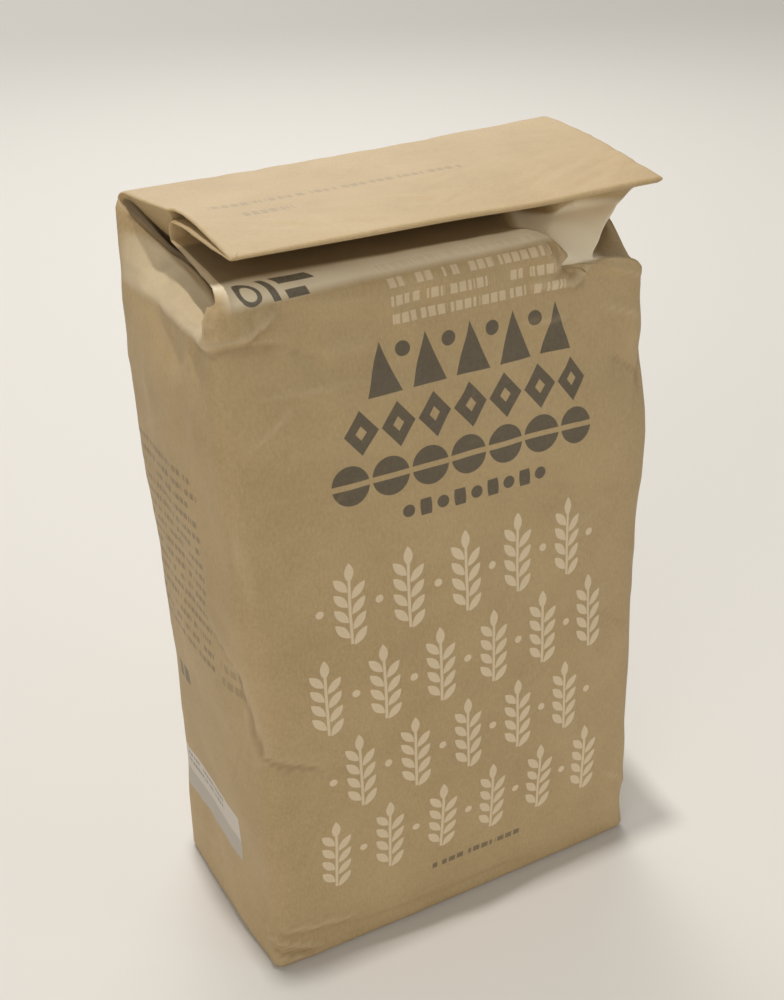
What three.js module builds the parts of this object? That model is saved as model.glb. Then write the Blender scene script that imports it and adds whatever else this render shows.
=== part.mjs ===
// A paper bag of flour that stands on its flat block bottom, with its top folded forward and shut.
// Millimetres, +Z up. The front faces -Y, and the origin is at the middle of the bag's box, at its foot.
//
// The bag is one tube of paper, made as one closed grid. A ring of the grid runs round the tube:
// the front from left to right, the right side, the back, the left side. The rings follow each
// other along the tube in stages of one unit each: the walls end at 1, the shoulders at 2, the roof
// at 3, the turn under the flap at 4, and the flap's two leaves at 5, where the hem joins them.
// Above its lip each side panel is tucked in between front and back, which leaves a mouth there.

import * as THREE from 'three';
import { mergeVertices } from 'three/addons/utils/BufferGeometryUtils.js';

const { clamp, lerp, smoothstep, degToRad } = THREE.MathUtils;

// The walls
const width = 123;
const depth = 65;
const backTop = 211.9;           // height where the back begins to roll over
const frontBulge = 3.4;
const backBulge = 3;
const sideBulge = 1.6;
const lipLean = 2;               // how far the middle of a side panel leans in at its lip
const footRadius = 2;            // the rounded edge of the block bottom

// How far each wall stands from the middle at its corners: [height, distance]
const frontFace = [[0, -32.3], [30, -33], [110, -32.8], [170, -31.2], [203, -29.4]];
const backFace = [[0, 33.5], [30, 34.2], [110, 34], [170, 33.8], [212, 33.2]];
const leftFace = [[0, -61.2], [50, -60.2], [110, -62.2], [169, -64], [212, -61.4]];
const rightFace = [[0, 63], [50, 63.6], [110, 63.8], [130, 65], [172, 63.4], [212, 62]];
const cornerRadius = [[0, 3], [0.08, 5.5], [0.5, 9], [0.85, 6], [1, 2.5]];   // [share of height, radius]

// The ways of the front sheet over the top, at three places across it: where the wall ends, then
// one run for each stage, which starts at a heading and bends by a number of degrees. Heading 0 is
// up and 90 is to the back. The right end is pinched down and slopes up under the flap.
const leftWay = { top: 202.5, runs: [
  { run: 6, heading: 8, bend: 76 },         // shoulder
  { run: 30.1, heading: 84, bend: 3 },      // roof
  { run: 5.3, heading: 87, bend: -175.5 },  // turn
  { run: 35.8, heading: -88.5, bend: 0 },   // lower leaf
] };
const centreWay = { top: 197, runs: [
  { run: 11.9, heading: 11, bend: 70 },
  { run: 26.6, heading: 81, bend: 4 },
  { run: 5.9, heading: 85, bend: -173.5 },
  { run: 35.8, heading: -88.5, bend: 0 },
] };
const pinchedWay = { top: 189.6, runs: [
  { run: 5.6, heading: -8, bend: 8 },
  { run: 14.3, heading: 35, bend: 30 },
  { run: 5.2, heading: 65, bend: -135 },
  { run: 12, heading: -67, bend: -4 },
] };
const leftEnds = -0.35;          // share of the half width where the left way has given way to the centre one
const pinchStart = [[1, 0.52], [2, 0.58], [3, 0.52], [5, 0.44]];   // [stage, share where the pinch sets in]
const pinchEnd = [[1, 0.76], [2, 0.74], [3, 0.65], [5, 0.57]];     // and where it is complete
const pinchLeanStart = 150;      // height where the front-right corner starts to lean in

const backWay = { top: backTop, runs: [
  { run: 5.6, heading: -2, bend: -86 },
  { run: 24.4, heading: -88, bend: -2 },
  { run: 1.2, heading: -90, bend: -0.5 },
  { run: 35.2, heading: -90.5, bend: -4.5 },
] };

// The folded edges at the two ends of the top: [stage, distance from the middle]
const frontLeftFold = [[1, -61.6], [2, -60.4], [3, -58.2], [4, -57.8], [5, -58.4]];
const frontRightFold = [
  [1, 59.6], [1.3, 58.3], [1.57, 56], [1.83, 51], [2, 44], [2.3, 47], [2.65, 52.2], [3, 58.5], [3.5, 63.3],
  [4, 64.8], [4.5, 63], [5, 62.6],
];
const backLeftFold = [[1, -61.4], [2, -60.6], [3, -58.4], [4.2, -56.9], [5, -58.2]];
const backRightFold = [[1, 62], [2, 69.5], [2.6, 68.6], [3, 68], [4, 67.5], [4.35, 66.2], [4.7, 64.6], [5, 63.6]];
const foldThickness = 0.9;
const foldReach = 1.4;           // how far a fold's rounding reaches in
const hemNose = 1;               // the hem's rounding in front of the leaves

// The side panels' lips: [share of the way from front to back, height]
const leftLip = [
  [0, 202.5], [0.06, 204], [0.1, 205.2], [0.2, 207.6], [0.38, 209.3], [0.63, 210.9], [1, 211.9],
];
const rightLip = [
  [0, 189.6], [0.04, 190], [0.1, 193.2], [0.15, 196.2], [0.2, 198.9], [0.27, 201.5], [0.5, 207.2], [0.75, 210.4],
  [1, 211.9],
];
const lipRoll = [[0, 0], [0.9, 0.4], [2.2, -1.2], [4.5, -4.6], [8, -6.6], [30, -7]];   // [way in, rise]
const tuckDepth = { left: 30, right: 15 };   // how far the side panels are tucked in at the turn
const hemTuck = 1.2;             // what is left of the tuck at the hem
const creaseGap = 0.4;           // the tuck's creases lie this far under the sheet over them
const lipCrease = 0.07;          // share of the lip where a crease starts
const footCrease = 0.28;         // share of a side panel's width where that grid line starts
const slotBow = 0.6;             // how far the tuck's middle lies in beyond its creases

// The flap isn't quite flat
const flapLift = { x: -60, y: -2, reachX: 12, reachY: 13, rise: 0.9 };
const flapDip = { x: 26, y: -32, reachX: 18, reachY: 14, rise: -0.6 };
const backClimb = 0.5;           // the back edge climbs to the right
const backSag = 0.7;             // and sags between its ends
const flapTwist = 0.5;             // while the hem falls to the right

// The grid
const frontCells = 24;
const cornerCells = 3;
const sideCells = 16;
const baseRings = 3;
const wallStages = [
  0, 0.0018, 0.0055, 0.012, 0.04, 0.1, 0.18, 0.27, 0.36, 0.45, 0.54, 0.63, 0.71, 0.78, 0.84, 0.89, 0.93, 0.97,
];
const topStages = [
  1, 1.12, 1.27, 1.45, 1.7, 2, 2.12, 2.25, 2.4, 2.6, 2.8, 3, 3.25, 3.5, 3.75, 4, 4.2, 4.4, 4.6, 4.8, 5,
];

// A smooth curve of one value through [station, value] pairs
function follow(pairs, station) {
  const last = pairs.length - 1;
  let i = 0;
  while (i < last - 1 && station > pairs[i + 1][0]) i += 1;
  const slopeAt = (k) => {
    const before = pairs[Math.max(k - 1, 0)];
    const after = pairs[Math.min(k + 1, last)];
    return (after[1] - before[1]) / (after[0] - before[0]);
  };
  const span = pairs[i + 1][0] - pairs[i][0];
  const t = clamp((station - pairs[i][0]) / span, 0, 1);
  return lerp(pairs[i][1], pairs[i + 1][1], t * t * (3 - 2 * t))
    + span * t * (1 - t) * ((1 - t) * slopeAt(i) - t * slopeAt(i + 1));
}

function mix(a, b, share) {
  return { x: lerp(a.x, b.x, share), y: lerp(a.y, b.y, share), z: lerp(a.z, b.z, share) };
}

// The place and outward direction on a way over the top, which starts on its wall's face. outside
// is -1 for the front and 1 for the back.
function onWay({ top, runs }, face, stage, outside) {
  let y = follow(face, top);
  let z = top;
  let heading = degToRad(runs[0].heading);
  runs.forEach(({ run, heading: from, bend }, i) => {
    const share = clamp(stage - 1 - i, 0, 1);
    if (share === 0) return;
    const start = degToRad(from);
    const turned = degToRad(bend) * share;
    heading = start + turned;
    if (bend === 0) {
      y += run * share * Math.sin(start);
      z += run * share * Math.cos(start);
    } else {
      y += ((run * share) / turned) * (Math.cos(start) - Math.cos(heading));
      z += ((run * share) / turned) * (Math.sin(heading) - Math.sin(start));
    }
  });
  return { y, z, outY: outside * Math.cos(heading), outZ: -outside * Math.sin(heading) };
}

// A soft rise or dip round one place on the flap
function hill({ x, y, reachX, reachY, rise }, atX, atY) {
  return rise * Math.exp(-(((atX - x) / reachX) ** 2) - ((atY - y) / reachY) ** 2);
}

// Lifts a point of the top by the flap's own unevenness, as far as it belongs to the flap
function onFlap(point, share) {
  const across = point.x / (width / 2);
  const forward = smoothstep(-point.y, -depth / 2, depth / 2);
  const rise = hill(flapLift, point.x, point.y) + hill(flapDip, point.x, point.y)
    + (1 - forward) * (backClimb * across - backSag * (1 - across * across)) - forward * flapTwist * across;
  return { ...point, z: point.z + share * rise };
}

// How far the foot's rounding takes a wall in, at a height
function footInset(z) {
  const rise = 1 - Math.min(z / footRadius, 1);
  return footRadius * (1 - Math.sqrt(1 - rise * rise));
}

// A wall swells most near its middle height
const swell = (stage) => Math.sin(Math.PI * Math.min(stage * 0.95 + 0.05, 1));

// How much of each way the front sheet takes at a place across it
function wayShares(across, stage) {
  const pinched = smoothstep(across, follow(pinchStart, stage), follow(pinchEnd, stage));
  const left = 1 - smoothstep(across, -1, leftEnds);
  return [[leftWay, left], [centreWay, 1 - left - pinched], [pinchedWay, pinched]];
}

// The front sheet: across runs from -1 at the left fold to 1 at the right fold
function frontPoint(across, stage) {
  const shares = wayShares(across, stage);
  const total = (value) => shares.reduce((sum, [way, share]) => sum + share * value(way), 0);
  if (stage <= 1) {
    const z = stage * total((way) => way.top);
    const lean = follow(rightFace, pinchedWay.top) - frontRightFold[0][1];
    const right = follow(rightFace, z) - lean * smoothstep(z, pinchLeanStart, pinchedWay.top);
    const bulge = frontBulge * (1 - across * across) * swell(stage);
    return { x: lerp(follow(leftFace, z), right, (across + 1) / 2), y: follow(frontFace, z) - bulge, z,
      outY: -1, outZ: 0 };
  }
  const [y, z, outY, outZ] = ['y', 'z', 'outY', 'outZ'].map((key) =>
    total((way) => onWay(way, frontFace, stage, -1)[key]));
  const x = lerp(follow(frontLeftFold, stage), follow(frontRightFold, stage), (across + 1) / 2);
  return { x, y, z, outY, outZ };
}

// The back sheet, which turns forward over the top and becomes the flap's upper leaf
function backPoint(across, stage) {
  const share = (across + 1) / 2;
  if (stage <= 1) {
    const z = stage * backTop;
    const bulge = backBulge * (1 - across * across) * swell(stage);
    const x = lerp(follow(leftFace, z), follow(rightFace, z), share);
    return { x, y: follow(backFace, z) + bulge, z, outY: 1, outZ: 0 };
  }
  const x = lerp(follow(backLeftFold, stage), follow(backRightFold, stage), share);
  return { ...onWay(backWay, backFace, stage, 1), x };
}

// The rounding between a flat sheet (share 0) and a side panel (share 1): a quarter turn on the
// walls, and a thin folded edge over the top
function cornerPoint(sheet, hand, stage, share) {
  const thin = smoothstep(stage, 1, 1.3);
  const radius = follow(cornerRadius, Math.min(stage, 1));
  const reach = lerp(radius, foldReach, thin);
  const thickness = lerp(radius, foldThickness, thin);
  const flat = (1 - share) ** 2;
  const nose = 2 * share * (1 - share);
  const side = share ** 2;
  const inward = flat * reach + side * foldReach * thin;
  const under = nose * 0.5 * thickness * thin + side * thickness;
  return {
    x: sheet.x - hand * inward,
    y: sheet.y - sheet.outY * under,
    z: sheet.z - sheet.outZ * under,
  };
}

// A side panel: part runs from 0 at the front fold over 2, its middle line, to 4 at the back fold.
// hand is -1 on the left and 1 on the right.
function sidePoint(hand, part, stage) {
  const frontEdge = cornerPoint(frontPoint(hand, stage), hand, stage, 1);
  const backEdge = cornerPoint(backPoint(hand, stage), hand, stage, 1);
  if (stage > 1) return tuckPoint(hand, part, stage, frontEdge, backEdge);
  const crease = lerp(footCrease, lipCrease, smoothstep(stage, 0.5, 1));
  const way = part < 1 ? part * crease : part > 3 ? 1 - (4 - part) * crease
    : lerp(crease, 1 - crease, (part - 1) / 2);
  const bulge = sideBulge * swell(stage) - lipLean * smoothstep(stage, 0.82, 1);
  const point = mix(frontEdge, backEdge, way);
  const lip = hand < 0 ? leftLip : rightLip;
  return { x: point.x + hand * bulge * 4 * way * (1 - way), y: point.y, z: stage * follow(lip, way) };
}

// The tucked part of a side panel. Its two creases run from the ends of the lip to the tuck's tip.
// From a fold to its crease the paper lies close under the sheet. Between the creases it is the
// mouth's floor, which keeps the lip's height and is drawn to the creases at its two ends.
function tuckPoint(hand, part, stage, frontEdge, backEdge) {
  const lip = hand < 0 ? leftLip : rightLip;
  const lipFront = cornerPoint(frontPoint(hand, 1), hand, 1, 1);
  const lipBack = cornerPoint(backPoint(hand, 1), hand, 1, 1);
  const frontTip = frontPoint(hand, 3).y;
  const backTip = backPoint(hand, 3).y;
  const onRoof = stage <= 3;
  const fromFront = onRoof ? clamp((frontEdge.y - lipFront.y) / (frontTip - lipFront.y), 0, 1) : 1;
  const fromBack = onRoof ? clamp((lipBack.y - backEdge.y) / (lipBack.y - backTip), 0, 1) : 1;
  const reach = lerp(hand < 0 ? tuckDepth.left : tuckDepth.right, hemTuck, clamp(stage - 4, 0, 1));
  const settled = smoothstep(stage, 1, 1.4);
  const lipSpan = (lipBack.y - lipFront.y) * lipCrease;
  const frontCrease = {
    x: frontEdge.x - hand * reach * fromFront,
    y: frontEdge.y + lipSpan * (1 - fromFront),
    z: lerp(follow(lip, lipCrease), frontEdge.z + (onRoof ? -creaseGap : creaseGap), settled),
  };
  const backCrease = {
    x: backEdge.x - hand * reach * fromBack,
    y: backEdge.y - lipSpan * (1 - fromBack),
    z: lerp(follow(lip, 1 - lipCrease), backEdge.z - creaseGap, settled),
  };
  if (part <= 1) return mix(frontEdge, frontCrease, part);
  if (part >= 3) return mix(backCrease, backEdge, part - 3);
  const share = (part - 1) / 2;
  const point = mix(frontCrease, backCrease, share);
  if (!onRoof) return { ...point, x: point.x - hand * slotBow * 4 * share * (1 - share) };
  const lipX = (way) => lerp(lipFront.x, lipBack.x, way) - hand * lipLean * 4 * way * (1 - way);
  const floorAt = ({ x, y }) => {
    const way = clamp((y - lipFront.y) / (lipBack.y - lipFront.y), 0, 1);
    return follow(lip, way) + follow(lipRoll, Math.abs(x - lipX(way)));
  };
  const drawn = (1 - share) ** 5 * (frontCrease.z - floorAt(frontCrease))
    + share ** 5 * (backCrease.z - floorAt(backCrease));
  const leaning = hand * lipLean * 4 * share * (1 - share) * (1 - fromFront);
  return { x: point.x - leaning, y: point.y, z: floorAt(point) + drawn };
}

// How much of the flap's unevenness the two sheets take at a stage
const frontFlapShare = (stage) => smoothstep(stage, 3, 4);
const backFlapShare = (stage) => smoothstep(stage, 1, 2);

// The columns of the grid: each has a function for its place on a ring, and its share of the way
// from the left end (-1) to the right end (1), which pairs it with its partner across the hem
function gridColumns() {
  const halfFront = frontCells / 2;
  const halfRing = halfFront + cornerCells + sideCells / 2;
  const columns = [];
  const add = (cell, flapShare, place) => columns.push({
    reach: cell / halfRing,
    place: (stage) => onFlap(place(stage), stage > 1 ? flapShare(stage) : 0),
  });
  const addSheet = (sheetPoint, flapShare, i) => {
    const across = i / halfFront - 1;
    add(i - halfFront, flapShare, (stage) => {
      const left = cornerPoint(sheetPoint(-1, stage), -1, stage, 0);
      const right = cornerPoint(sheetPoint(1, stage), 1, stage, 0);
      return { ...sheetPoint(across, stage), x: lerp(left.x, right.x, i / frontCells) };
    });
  };
  const addCorner = (sheetPoint, flapShare, hand, i) =>
    add(hand * (halfFront + i), flapShare, (stage) =>
      cornerPoint(sheetPoint(hand, stage), hand, stage, i / cornerCells));
  const addSide = (hand, i) => {
    const backShare = i / sideCells;
    add(hand * (halfFront + cornerCells + Math.min(i, sideCells - i)),
      (stage) => lerp(frontFlapShare(stage), backFlapShare(stage), smoothstep(backShare, 0.25, 0.75)),
      (stage) => sidePoint(hand, 4 * backShare, stage));
  };
  for (let i = 0; i < frontCells; i += 1) addSheet(frontPoint, frontFlapShare, i);
  for (let i = 0; i < cornerCells; i += 1) addCorner(frontPoint, frontFlapShare, 1, i);
  for (let i = 0; i < sideCells; i += 1) addSide(1, i);
  for (let i = cornerCells; i > 0; i -= 1) addCorner(backPoint, backFlapShare, 1, i);
  for (let i = frontCells; i > 0; i -= 1) addSheet(backPoint, backFlapShare, i);
  for (let i = 0; i < cornerCells; i += 1) addCorner(backPoint, backFlapShare, -1, i);
  for (let i = sideCells; i > 0; i -= 1) addSide(-1, i);
  for (let i = cornerCells; i > 0; i -= 1) addCorner(frontPoint, frontFlapShare, -1, i);
  return columns;
}

// Takes a wall point in towards the axis by the foot's rounding
function onFoot({ x, y, z }) {
  const inset = footInset(z);
  return { x: x * (1 - inset / (width / 2)), y: y * (1 - inset / (depth / 2)), z };
}

// Every ring of the bag, from the base's middle line to the hem's nose, which is also a line
function bagRings() {
  const columns = gridColumns();
  const foot = columns.map(({ place }) => onFoot(place(0)));
  const baseLine = columns.map(({ reach }) => ({ x: reach * (width - depth) / 2, y: 0, z: 0 }));
  const base = Array.from({ length: baseRings }, (_, i) =>
    baseLine.map((point, k) => mix(point, foot[k], i / baseRings)));
  const walls = wallStages.map((stage) => columns.map(({ place }) => onFoot(place(stage))));
  const top = topStages.map((stage) => columns.map(({ place }) => place(stage)));
  const last = top[top.length - 1];
  const hem = columns.map(({ reach }, i) => {
    const partner = columns.findIndex((other, k) => k !== i && Math.abs(other.reach - reach) < 1e-9);
    const middle = mix(last[i], last[partner < 0 ? i : partner], 0.5);
    return { ...middle, y: Math.min(last[i].y, last[partner < 0 ? i : partner].y) - hemNose };
  });
  return [...base, ...walls, ...top, hem];
}

// Joins the rings into one closed surface
function closedSurface(rings) {
  const count = rings[0].length;
  const positions = rings.flatMap((ring) => ring.flatMap(({ x, y, z }) => [x, y, z]));
  const index = [];
  for (let r = 0; r < rings.length - 1; r += 1) {
    for (let c = 0; c < count; c += 1) {
      const a = r * count + c;
      const b = r * count + ((c + 1) % count);
      index.push(a, b, b + count, a, b + count, a + count);
    }
  }
  const grid = new THREE.BufferGeometry();
  grid.setAttribute('position', new THREE.Float32BufferAttribute(positions, 3));
  grid.setIndex(index);
  return mergeVertices(grid, 1e-4);
}

// Moves a surface sideways, so that its box stands on the origin
function onOrigin(surface) {
  surface.computeBoundingBox();
  const { min, max } = surface.boundingBox;
  return surface.translate(-(min.x + max.x) / 2, -(min.y + max.y) / 2, 0);
}

const kraftPaper = new THREE.MeshStandardMaterial({ color: 0xa08a64, roughness: 0.85, metalness: 0 });
const bag = new THREE.Mesh(onOrigin(closedSurface(bagRings())), kraftPaper);
bag.name = 'flour_bag';

const flourBag = new THREE.Group();
flourBag.add(bag);

export default flourBag;
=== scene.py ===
import bmesh
import bpy
import numpy as np
from mathutils import Matrix, Vector


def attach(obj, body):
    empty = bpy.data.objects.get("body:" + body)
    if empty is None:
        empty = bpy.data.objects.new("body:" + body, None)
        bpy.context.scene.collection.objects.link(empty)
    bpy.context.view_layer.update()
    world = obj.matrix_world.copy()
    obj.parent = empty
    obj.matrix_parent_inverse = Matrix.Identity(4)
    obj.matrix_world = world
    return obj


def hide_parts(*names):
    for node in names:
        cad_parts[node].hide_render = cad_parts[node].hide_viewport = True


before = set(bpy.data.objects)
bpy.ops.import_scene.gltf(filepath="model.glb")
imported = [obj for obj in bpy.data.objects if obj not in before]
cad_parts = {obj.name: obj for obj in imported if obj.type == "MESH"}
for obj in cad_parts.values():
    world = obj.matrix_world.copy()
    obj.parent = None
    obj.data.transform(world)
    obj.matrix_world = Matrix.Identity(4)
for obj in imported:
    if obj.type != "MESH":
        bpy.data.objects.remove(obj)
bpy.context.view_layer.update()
mm = 0.001


# The camera, at the photograph's place. Lengths are in millimetres until a mesh is made, unless noted.
camera = {
    "place": (-175.200, -319.071, 317.551),
    "right": (0.87331, -0.48645, -0.02618),
    "forward": (0.41809, 0.77600, -0.47225),
    "lens": 52.2,
    "sensor": 36,
    "near": 0.01,  # metres
}

# The bag's shape, the same as the solid's
bag = {
    "width": 123,
    "depth": 65,
    "backTop": 211.9,  # where the back begins to roll over
    "frontBulge": 3.4,
    "backBulge": 3,
    "sideBulge": 1.6,
    "lipLean": 2,  # how far a side panel leans in at its lip
    "lipLeanStart": 0.82,  # the share of its height where that starts
    "footRadius": 2,
    "centre": (2.005, 0.3274),  # the middle of the bag's box, before it is moved to the origin
    # Each face is [height, distance from the middle], and the corners [share of height, radius]
    "frontFace": [[0, -32.3], [30, -33], [110, -32.8], [170, -31.2], [203, -29.4]],
    "backFace": [[0, 33.5], [30, 34.2], [110, 34], [170, 33.8], [212, 33.2]],
    "leftFace": [[0, -61.2], [50, -60.2], [110, -62.2], [169, -64], [212, -61.4]],
    "rightFace": [[0, 63], [50, 63.6], [110, 63.8], [130, 65], [172, 63.4], [212, 62]],
    "cornerRadius": [[0, 3], [0.08, 5.5], [0.5, 9], [0.85, 6], [1, 2.5]],
    "pinchLeanStart": 150,  # the height where the front-right corner starts to lean in
    "foldThickness": 0.9,  # of the folded edges over the top
    "foldReach": 1.4,
    "foldStage": 1.3,  # where a corner has become such an edge
    "foldNose": 0.5,  # the share of its thickness at its outermost point
    "hemNose": 1,
    "seamPlace": 30,  # the glued long seam on the back
    "seamWidth": 15,
    "seamRise": 0.4,
    "seamEdges": (1, 2),  # how far its two edges take to rise and to fall
}

# Ways of the sheets over the top: the wall's height, then (run, heading, bend) for each stage. The walls
# are stage 0 to 1, and the others end with the shoulder (2), the roof (3), the turn (4) and the hem (5).
ways = {
    "left": (202.5, [(6, 8, 76), (30.1, 84, 3), (5.3, 87, -175.5), (35.8, -88.5, 0)]),
    "centre": (197, [(11.9, 11, 70), (26.6, 81, 4), (5.9, 85, -173.5), (35.8, -88.5, 0)]),
    "pinched": (189.6, [(5.6, -8, 8), (14.3, 35, 30), (5.2, 65, -135), (12, -67, -4)]),
    "back": (211.9, [(5.6, -2, -86), (24.4, -88, -2), (1.2, -90, -0.5), (35.2, -90.5, -4.5)]),
    "leftEnds": -0.35,  # the share of the half width where the centre way has taken over
    "pinchStart": [[1, 0.52], [2, 0.58], [3, 0.52], [5, 0.44]],  # [stage, share] where the pinch starts
    "pinchEnd": [[1, 0.76], [2, 0.74], [3, 0.65], [5, 0.57]],  # and where it has taken over
}

# The folded edges at the ends of the top: [stage, distance from the middle]
folds = {
    "frontLeft": [[1, -61.6], [2, -60.4], [3, -58.2], [4, -57.8], [5, -58.4]],
    "frontRight": [[1, 59.6], [1.3, 58.3], [1.57, 56], [1.83, 51], [2, 44], [2.3, 47], [2.65, 52.2],
                   [3, 58.5], [3.5, 63.3], [4, 64.8], [4.5, 63], [5, 62.6]],
    "backLeft": [[1, -61.4], [2, -60.6], [3, -58.4], [4.2, -56.9], [5, -58.2]],
    "backRight": [[1, 62], [2, 69.5], [2.6, 68.6], [3, 68], [4, 67.5], [4.35, 66.2], [4.7, 64.6],
                  [5, 63.6]],
}

# The side panels' lips, [share of the way from front to back, height], and the tucks behind them
tucks = {
    "leftLip": [[0, 202.5], [0.06, 204], [0.1, 205.2], [0.2, 207.6], [0.38, 209.3], [0.63, 210.9],
                [1, 211.9]],
    "rightLip": [[0, 189.6], [0.04, 190], [0.1, 193.2], [0.15, 196.2], [0.2, 198.9], [0.27, 201.5],
                 [0.5, 207.2], [0.75, 210.4], [1, 211.9]],
    "lipRoll": [[0, 0], [0.9, 0.4], [2.2, -1.2], [4.5, -4.6], [8, -6.6], [30, -7]],  # [way in, rise]
    "settled": (1, 1.4),  # the stages in which a tuck's crease reaches the sheet above it
    "leftDepth": 30,  # how far a tuck reaches in from its fold
    "rightDepth": 15,
    "hemDepth": 1.2,
    "creaseGap": 0.4,  # between a crease and the sheet above it
    "lipCrease": 0.07,  # the share of a side panel's width where its first crease lies, at the lip
    "footCrease": 0.28,  # and at the foot
    "creaseMoves": (0.5, 1),  # the shares of the height between which it moves from one to the other
    "slotBow": 0.6,
    "draw": 5,  # the power by which the mouth's floor is drawn up to its creases
}

# The slant of the left panel's top, from its long crease up to the lip
slant = {
    "crease": 194,
    "inward": 5.0,
    "down": 9.5,
    "front": (-33, -17),  # y where it grows from the front corner
    "back": (14, 34),  # and where it fades to the back one
    "tuck": (-55, -28),  # x where the tuck has taken it up
    "lipFront": -30,  # the lip runs from this y over this length
    "lipLength": 62,
}

# The flap isn't quite flat: soft hills [x, y, reach in x, reach in y, rise], and its edges' climb
flap = {
    "hills": [(-60, -2, 12, 13, 0.9), (26, -32, 18, 14, -0.6)],
    "climb": 0.5,
    "sag": 0.7,
    "twist": 0.5,
}

# How fine the paper's grid is: its columns, its rings, and the lengths in metres under which points join
grid = {
    "front": 100,
    "corner": 6,
    "side": 44,
    "base": 22,
    "footRings": 7,
    "wallRings": 150,
    "topRings": [14, 26, 14, 30],
    "noseTurns": [30, 60, 90],
    "joined": 2e-7,
    "dropped": 1e-7,
}

# Wrinkles. A crease is its two ends, how far it stands out, its reach to the left and to the right as one
# goes from the first end, and the share of its length over which each end fades. A bell is its place, its
# reach both ways and how far it stands out. Places are (across, height), as seen by one facing the wall.
wrinkles = {
    "front": [
        ((-66, 194.4), (-53, 193.6), 1.8, 4.5, 0.9, 0.25),
        ((-56, 193.2), (-46, 199.0), 1.4, 4.0, 1.2, 0.28),
        ((-63, 192.2), (-44, 190.0), -1.4, 1.4, 5.0, 0.3),
        ((-56, 179.5), (-24, 177.5), 0.9, 6.0, 4.0, 0.35),
        ((-58, 165.0), (-44, 176.0), 0.7, 3.5, 2.2, 0.35),
        ((44, 183.0), (60, 176.0), 0.9, 3.0, 2.0, 0.3),
        ((46, 192.5), (62, 187.0), 1.0, 2.6, 1.6, 0.3),
        ((48, 168.0), (62, 158.0), -0.8, 1.8, 3.0, 0.3),
        ((-50, 200.5), (-55, 193.0), 0.6, 1.2, 3.0, 0.3),
        ((-46, 190.5), (-34, 184.0), -0.5, 2.0, 3.5, 0.35),
        ((27, 203.5), (32, 193.5), 1.3, 1.0, 3.5, 0.3),
        ((22, 191.6), (39, 189.8), 1.8, 5.0, 1.4, 0.25),
        ((33, 196.0), (37.5, 190.5), -1.5, 2.0, 1.4, 0.3),
        ((37.5, 190.2), (42.5, 196.5), 1.2, 1.2, 1.8, 0.25),
        ((20, 182.5), (36, 181.0), 0.8, 3.0, 1.5, 0.3),
    ],
    "paper": [  # here the places are (U, V), along the paper
        ((-84, 110), (-67, 101), -0.7, 1.4, 4.0, 0.3),
        ((-69, 103), (-62, 75), -1.5, 1.3, 4.0, 0.22),
        ((-63.5, 77), (-44, 69), -1.3, 1.2, 3.6, 0.25),
        ((-68, 15), (-47, 6.0), 1.7, 2.2, 0.9, 0.22),
        ((-66, 9), (-50, 3.5), -1.4, 1.1, 1.2, 0.22),
        ((-62, 17), (-34, 11.5), 1.2, 3.2, 1.1, 0.28),
        ((-64, 150), (-60, 124), 0.6, 3.0, 2.0, 0.35),
        ((50, 30), (64, 18), 0.7, 2.5, 1.5, 0.3),
        ((58, 150), (66, 176), -0.8, 2.0, 3.0, 0.3),
        ((-40, 9), (30, 6.5), -0.35, 1.2, 1.6, 0.3),
    ],
    "frontBells": [
        (-40, 174, 30, 8, 0.9),
        (20, 120, 40, 40, 0.3),
        (-10, 160, 40, 12, -0.4),
        (40, 160, 20, 20, 0.5),
        (-30, 187, 9, 3.5, 0.8),
        (-12, 178, 12, 4, -0.6),
        (-50, 168, 7, 6, 0.8),
        (-33, 158, 14, 5, -0.6),
    ],
    "left": [
        ((-30, 199), (0, 194), 0.9, 7.0, 1.8, 0.3),
        ((-6, 193.8), (34, 193), 1.8, 4.5, 1.4, 0.22),
        ((12, 200), (31, 198), 1.1, 1.6, 1.4, 0.3),
        ((16, 190.5), (36, 191), -1.0, 1.4, 4.0, 0.3),
        ((-30, 150), (4, 168), 0.5, 4.0, 5.0, 0.35),
        ((-20, 120), (20, 108), 0.4, 4.0, 4.0, 0.35),
    ],
    "leftBells": [(0, 176, 26, 9, 0.5), (5, 110, 20, 40, -0.4)],
    "right": [((-20, 178), (12, 186), -1.2, 3.0, 5.0, 0.35), ((-24, 150), (10, 142), 0.8, 4.0, 3.0, 0.35)],
    "back": [((-50, 186), (-15, 178), 1.0, 3.0, 4.0, 0.35), ((20, 190), (52, 170), -1.0, 3.0, 3.0, 0.35)],
    # Small creases all over, drawn from their seed
    "small": {"seed": 7, "count": 90, "across": 190, "up": (4, 205), "length": (8, 34),
              "depth": (0.05, 0.22), "reach": (0.8, 2.6), "fade": 0.4},
    # Soft undulations of the walls, and a field of soft ridges that is strongest near the top
    "broad": {"seed": 3, "depth": 0.34, "length": (26, 70)},
    "ridges": {"seed": 5, "depth": 0.34, "length": (13, 32), "middle": 0.8, "roundness": 0.03,
               "least": 0.35, "grows": (130, 205), "onTop": 0.35},
    "clearFoot": (0.5, 5.0),  # the heights over which wrinkles start
    "clearHem": (9, 4),  # the rings before the last in which they end
    "clearTurn": (34, 40, 54, 60),  # rings past the roof's start that lie too close together for ridges
    "fullWearAndShade": 0.8,  # the bend of a crease, from ring to ring, that wears the paper through on a ridge and gives the full painted shade in a valley
}


# The smooth step: 0 below the low end, 1 above the high one, and 3 t squared less 2 t cubed between them
def smooth(value, low, high):
    t = np.clip((value - low) / (high - low), 0, 1)
    return t * t * (3 - 2 * t)


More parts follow.
